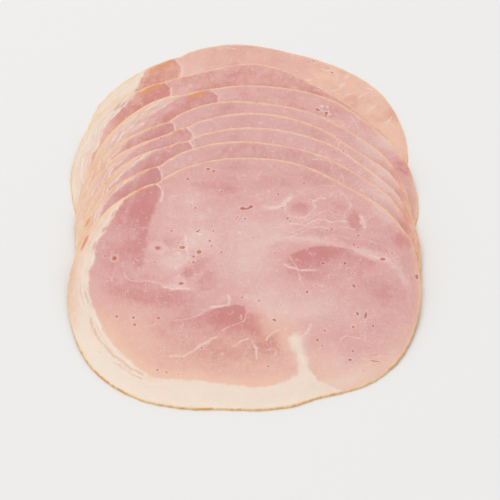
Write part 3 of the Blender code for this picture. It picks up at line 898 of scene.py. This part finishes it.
class Flow:
    """A number that varies over the surface, taken from one node's output."""

    tree = None

    def __init__(self, socket):
        self.socket = socket

    @classmethod
    def node(cls, kind, settings, sockets):
        """Add a node, with its settings first and then the values or links of its sockets."""
        made = cls.tree.nodes.new(kind)
        for name, value in settings.items():
            setattr(made, name, value)
        for name, value in sockets.items():
            put(made.inputs[name], value)
        return made

    def maths(self, operation, *others, turned=False):
        items = (self, *others)
        sockets = dict(enumerate(items[::-1] if turned else items))
        return Flow(Flow.node("ShaderNodeMath", dict(operation=operation), sockets).outputs[0])

    def __add__(self, other):
        return self.maths("ADD", other)

    def __radd__(self, other):
        return self.maths("ADD", other, turned=True)

    def __sub__(self, other):
        return self.maths("SUBTRACT", other)

    def __rsub__(self, other):
        return self.maths("SUBTRACT", other, turned=True)

    def __mul__(self, other):
        return self.maths("MULTIPLY", other)

    def __rmul__(self, other):
        return self.maths("MULTIPLY", other, turned=True)

    def __truediv__(self, other):
        return self.maths("DIVIDE", other)

    def __rtruediv__(self, other):
        return self.maths("DIVIDE", other, turned=True)

    def most(self, other):
        return self.maths("MAXIMUM", other)

    def size(self):
        return self.maths("ABSOLUTE")

    def part(self):
        """What is left above the whole number below."""
        return self.maths("FRACT")

    def step(self, low, high):
        """0 below low, 1 above high, smooth between."""
        sockets = {"Value": self, "From Min": low, "From Max": high}
        made = Flow.node("ShaderNodeMapRange", dict(interpolation_type="SMOOTHSTEP"), sockets)
        return Flow(made.outputs[0])


def put(slot, value):
    """Give a socket a value, or link it to a flow or another socket."""
    if isinstance(value, Flow):
        value = value.socket
    if isinstance(value, bpy.types.NodeSocket):
        Flow.tree.links.new(value, slot)
    else:
        slot.default_value = value


def layer(name):
    """A painted layer, as the mesh holds it."""
    return Flow(Flow.node("ShaderNodeAttribute", dict(attribute_name=name), {}).outputs["Fac"])


def places(name, stretch=(1, 1, 1)):
    """Points in millimetres, as the mesh holds them. A smaller stretch draws noise out in that direction."""
    source = Flow.node("ShaderNodeAttribute", dict(attribute_name=name), {}).outputs["Vector"]
    return Flow.node("ShaderNodeVectorMath", dict(operation="MULTIPLY"), {0: source, 1: stretch}).outputs[0]


def grain(where, scale, detail=2.0, rough=0.55, bend=0.0):
    """Cloudy noise from 0 to 1, with this many clouds in a millimetre."""
    sockets = {"Vector": where, "Scale": scale, "Detail": detail, "Roughness": rough, "Distortion": bend}
    return Flow(Flow.node("ShaderNodeTexNoise", {}, sockets).outputs[0])


def mix(below, above, share):
    """One colour laid over another."""
    sockets = {MIX_SHARE: share, MIX_BELOW: below, MIX_ABOVE: above}
    return Flow.node("ShaderNodeMix", dict(data_type="RGBA", clamp_factor=True), sockets).outputs[MIX_RESULT]


def colour(red, green, blue):
    """A colour read off as 0 to 255, as light."""
    parts = [c / 255 for c in (red, green, blue)]
    return tuple(c / 12.92 if c < 0.04045 else ((c + 0.055) / 1.055) ** 2.4 for c in parts) + (1.0,)


print("middle grey as light:", round(colour(128, 128, 128)[0], 3))


# %% [markdown]
# The lean goes from pale to deep pink, with fibres and specks in it, and warms to peach where it meets the
# fat. Noise adds what is too fine to paint: veins, wavy lines where fibres run level, and frayed seams.

# %% The colour of the lean
PALE = colour(228, 188, 181)
MID = colour(222, 168, 162)
DEEP = colour(205, 130, 126)
COOL = colour(202, 160, 160)
CLOUD = colour(232, 201, 192)
PEACH = colour(238, 194, 168)
PEACH_DEEP = colour(214, 146, 128)
SEAM = colour(238, 208, 198)


def lean_colour(mottle, fibre, speck):
    spots = places("spot_mm")
    tone = layer("tone") + mottle * 0.32 + fibre * 0.38 + speck * 0.46
    lean = mix(mix(PALE, MID, tone.step(0.0, 0.5)), DEEP, tone.step(0.45, 1.05))
    lean = mix(lean, COOL, layer("cool"))
    cloud = grain(places("spot_mm", (1.0, 1.3, 1.0)), 0.36, detail=4.0, rough=0.62, bend=2.0)
    lean = mix(lean, CLOUD, (cloud - tone * 0.2).step(0.40, 0.60) * 0.42)
    peach = mix(PEACH, PEACH_DEEP, tone.step(0.40, 1.1))
    lean = mix(lean, peach, (layer("warm") + mottle * 0.3) * 0.85)

    level = grain(spots, 0.13, rough=0.5, bend=1.2) - 0.5
    breaks = grain(spots, 0.3, detail=1.0).step(0.48, 0.62)
    vein = (1 - level.size().step(0.004, 0.02)) * breaks
    across = grain(places("spot_mm", (0.35, 1.0, 1.0)), 0.35, rough=0.5, bend=0.8)
    wave = (1 - ((across * 5).part() - 0.5).size().step(0.03, 0.25)) * layer("waving")
    grains = grain(spots, 0.55, rough=0.6, bend=0.5).step(0.5, 0.62) * layer("curds")
    lean = mix(lean, SEAM, (vein * 0.45).most(wave * 0.3).most(grains * 0.5))
    frayed = layer("seam") + speck * 0.9 + fibre + mottle * 0.8
    return mix(lean, SEAM, frayed.step(0.32, 1.0) * 0.8)


print("the pinks of the lean, as light:", [round(c[0], 2) for c in (PALE, MID, DEEP)])


# %% [markdown]
# Fat is cream-coloured and made of layers that run along the lean. Noise stretched along that line gives the
# strings, and a repeating line in the depth gives the layers. A wood texture would make rings too even.

# %% The colour of the fat
FAT = colour(241, 225, 207)
FAT_SHADE = colour(238, 215, 196)
FAT_PALE = colour(246, 230, 214)
FAT_LINE = colour(226, 186, 158)
FAT_PINK = colour(229, 190, 178)
STRAND = colour(212, 160, 153)


def fat_strings():
    return grain(places("band_mm", (1.0, 0.05, 1.0)), 0.9, detail=3.0, rough=0.6, bend=0.3)


def fat_colour(mottle, fibre, speck, strings):
    blush, strung = layer("blush"), layer("strung")
    bands = places("band_mm", (1.0, 0.05, 1.0))
    phase = (layer("depth") * 0.42 + grain(bands, 0.4) * 2.4).part()
    breaks = grain(bands, 0.45, detail=1.0).step(0.42, 0.56)
    line = (1 - (phase - 0.5).size().step(0.02, 0.2)) * breaks * strung
    threads = grain(places("band_mm", (1.0, 0.08, 1.0)), 1.5, detail=3.0, rough=0.7, bend=0.4) - 0.5
    fat = mix(FAT, FAT_SHADE, (mottle * 1.2 + 0.2).most(speck * 1.5 - 0.1))
    fat = mix(fat, FAT_PINK, blush)
    fat = mix(fat, FAT_PALE, (strings - 0.5 + threads).step(0.0, 0.2) * strung * 0.85)
    dark = (0.5 - strings - threads).step(0.04, 0.26) * strung * 0.55
    fat = mix(fat, mix(FAT_LINE, STRAND, blush), dark.most(line * 0.4))
    return mix(fat, FAT_LINE, (layer("strand") + fibre * 0.7).step(0.1, 0.8) * 0.75)


print("the fat, as light:", [round(part, 2) for part in FAT[:3]])


# %% [markdown]
# Glaze is sugar browned in the oven. On a slice only its cut edge is left: a gold band, a broken brown line,
# and patches that spread onto the face. It lies over everything else, so it is mixed in last.

# %% The colour of the glaze and the holes
HOLE_SHADE = colour(196, 90, 70)
TAN_AND_GAP_SHADE = colour(220, 150, 108)
RUST = colour(222, 140, 98)
GOLD = colour(241, 206, 164)
# painted light: the brown of the glaze line is kept light, to make up for the shade on the side wall
BROWN = colour(231, 171, 103)
# painted light: the side wall gets a paler gold than the glaze, against its shade and for the rim's glow
SIDE_LIT = colour(250, 214, 162)
GILD = colour(231, 184, 155)


def marked(meat, mottle, fibre):
    """The face with the glaze that spread onto it, strips of meat in the fat, and holes in painted shade."""
    hole = layer("hole")
    meat = mix(meat, GILD, layer("gild") * (0.8 + mottle * 1.4 + fibre))
    meat = mix(meat, STRAND, (layer("mauve") + fibre * 0.8).step(0.1, 0.9) * 0.7)
    # glaze at the back, and painted shade in the gaps between slices at the right
    meat = mix(meat, TAN_AND_GAP_SHADE, layer("tan_and_gap_shade") * (0.85 + fibre))
    meat = mix(meat, RUST, (layer("rust") + fibre * 0.6).step(0.1, 0.5) * 0.85)
    # painted highlight: a pale ring round each hole, where light catches its edge
    meat = mix(meat, SEAM, hole.step(-0.5, 0.1) * 0.3)
    # painted shade: each hole is coloured dark, as shade falls into it; it is also sunk 0.3 mm
    return mix(meat, HOLE_SHADE, hole.step(0.35, 0.75) * (0.8 + mottle))


def rimmed(meat, mottle, fibre, speck):
    """The face with the gold band and brown line of glaze round its edge, and its side in painted light."""
    edge = layer("edge")
    ragged_edge = edge / layer("glazed") + fibre * 1.1 + speck * 0.4
    broken = grain(places("spot_mm"), 0.45) - 0.5
    meat = mix(meat, GOLD, (1 - ragged_edge.step(0.3, 2.4)) * (0.75 + mottle * 1.2 + broken * 1.2))
    # painted light: the side wall and the underside are painted a pale gold, as if lit
    meat = mix(meat, SIDE_LIT, (1 - (edge + 1).step(0.2, 0.9)) * 0.85)
    browned = (layer("browned") + speck * 1.2 + broken * 2.4).step(0.15, 0.95)
    return mix(meat, BROWN, (1 - ragged_edge.step(0.0, 0.8)) * browned * 0.9)


print("the brown of the glaze, as light:", [round(part, 2) for part in BROWN[:3]])


# %% [markdown]
# Ham is moist and slightly see-through, so light enters it and comes out a little further on: that is what
# subsurface does. Glass-like transmission would be too clear. A wet film could be a coat, but a sliced ham
# is only damp, so a middling roughness with fine bumps is enough.

# %% The ham material
MOIST = 0.46  # roughness of the lean
BUMP_STRENGTH = 0.4
BUMP_HIGH = 0.00035  # metres
GLOSS = 0.4
SOFTNESS = 0.25  # how much of the light goes under the surface
LIGHT_REACH = 0.0015  # metres
REACH_BY_COLOUR = (1.0, 0.45, 0.3)  # red light goes furthest


def ham_material():
    material = bpy.data.materials.new("ham")
    material.use_nodes = True
    Flow.tree = material.node_tree
    shader = Flow.tree.nodes["Principled BSDF"]
    mottle = grain(places("spot_mm"), 0.16, detail=3.0, rough=0.6, bend=0.6) - 0.5
    fibre = grain(places("spot_mm", (1.0, 0.4, 1.0)), 0.8, detail=3.0, rough=0.65, bend=0.8) - 0.5
    speck = grain(places("spot_mm"), 1.7) - 0.5
    strings, wispy = fat_strings(), layer("wispy")
    fat = 1 - (layer("depth") + fibre * 2.4 + mottle * 1.6).step(-0.9 - wispy, 1.0 + wispy)

    lean = lean_colour(mottle, fibre, speck)
    meat = mix(lean, fat_colour(mottle, fibre, speck, strings), fat.most(layer("cream")))
    meat = rimmed(marked(meat, mottle, fibre), mottle, fibre, speck)
    put(shader.inputs["Base Color"], meat)
    put(shader.inputs["Roughness"], MOIST + speck * 0.25 - fat * 0.06)
    height = fibre * 0.6 + speck * 0.5 + strings * fat * 0.6
    bumps = Flow.node(
        "ShaderNodeBump", {}, {"Strength": BUMP_STRENGTH, "Distance": BUMP_HIGH, "Height": height})
    put(shader.inputs["Normal"], bumps.outputs[0])
    shader.inputs["Specular IOR Level"].default_value = GLOSS
    shader.inputs["Subsurface Weight"].default_value = SOFTNESS
    shader.inputs["Subsurface Radius"].default_value = REACH_BY_COLOUR
    shader.inputs["Subsurface Scale"].default_value = LIGHT_REACH
    return material


ham = ham_material()
print("nodes in the ham material:", len(ham.node_tree.nodes))


# %% [markdown]
# Each fine slice takes the place of its solid and rides on the one body of this part. All eight share one
# material, and differ only in their painted layers.

# %% Put the slices in place
for k in range(COUNT):
    piece = build_slice(k)
    piece.data.materials.append(ham)
    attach(piece, "root")
    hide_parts(f"slice_{k + 1}")
    print(piece.name, len(piece.data.vertices), "points")


# %% [markdown]
# The floor is plain and pale. One large lamp from the back left gives a soft shadow, and an even white sky
# fills it in: a small lamp would draw hard shadows that thin slices don't show. The camera looks down at
# the slices through a long lens, so that the fan isn't drawn out.

# %% Floor, light and camera
FLOOR_HALF = 3.0
FLOOR_COLOUR = colour(238, 237, 236)
FLOOR_ROUGH = 0.8
LAMP_PLACE = (-0.6, 0.7, 3.0)
LAMP_WIDE = 2.4
LAMP_POWER = 36
SKY_WHITE = (1, 1, 1, 1)
SKY_STRENGTH = 0.69
LENS = 112.1
SENSOR = 36
CAMERA_FRONT = 536.3  # mm from the drawing's origin to below the camera
CAMERA_HIGH = 655.2
CAMERA_DOWN = 50.7  # degrees below level


def add_floor():
    mesh = bpy.data.meshes.new("floor")
    corners = [(-FLOOR_HALF, -FLOOR_HALF, 0), (FLOOR_HALF, -FLOOR_HALF, 0),
               (FLOOR_HALF, FLOOR_HALF, 0), (-FLOOR_HALF, FLOOR_HALF, 0)]
    mesh.from_pydata(corners, [], [(0, 1, 2, 3)])
    material = bpy.data.materials.new("floor")
    material.use_nodes = True
    shader = material.node_tree.nodes["Principled BSDF"]
    shader.inputs["Base Color"].default_value = FLOOR_COLOUR
    shader.inputs["Roughness"].default_value = FLOOR_ROUGH
    mesh.materials.append(material)
    floor = bpy.data.objects.new("floor", mesh)
    bpy.context.scene.collection.objects.link(floor)


def add_lamp():
    light = bpy.data.lights.new("key", "AREA")
    light.shape = "DISK"
    light.size = LAMP_WIDE
    light.energy = LAMP_POWER
    lamp = bpy.data.objects.new("key", light)
    lamp.location = LAMP_PLACE
    lamp.rotation_euler = lamp.location.to_track_quat("Z", "Y").to_euler()
    bpy.context.scene.collection.objects.link(lamp)


def add_sky():
    world = bpy.data.worlds.new("world")
    world.use_nodes = True
    sky = world.node_tree.nodes["Background"]
    sky.inputs["Color"].default_value = SKY_WHITE
    sky.inputs["Strength"].default_value = SKY_STRENGTH
    bpy.context.scene.world = world
    bpy.context.scene.view_settings.view_transform = "Standard"


def add_camera():
    camera = bpy.data.cameras.new("camera")
    camera.lens = LENS
    camera.sensor_width = SENSOR
    view = bpy.data.objects.new("camera", camera)
    view.location = (-MIDDLE[0] * MM, (-CAMERA_FRONT - MIDDLE[1]) * MM, CAMERA_HIGH * MM)
    view.rotation_euler = (math.radians(90 - CAMERA_DOWN), 0, 0)
    bpy.context.scene.collection.objects.link(view)
    bpy.context.scene.camera = view


add_floor()
add_lamp()
add_sky()
add_camera()
print("camera at", [round(part, 3) for part in bpy.context.scene.camera.location])
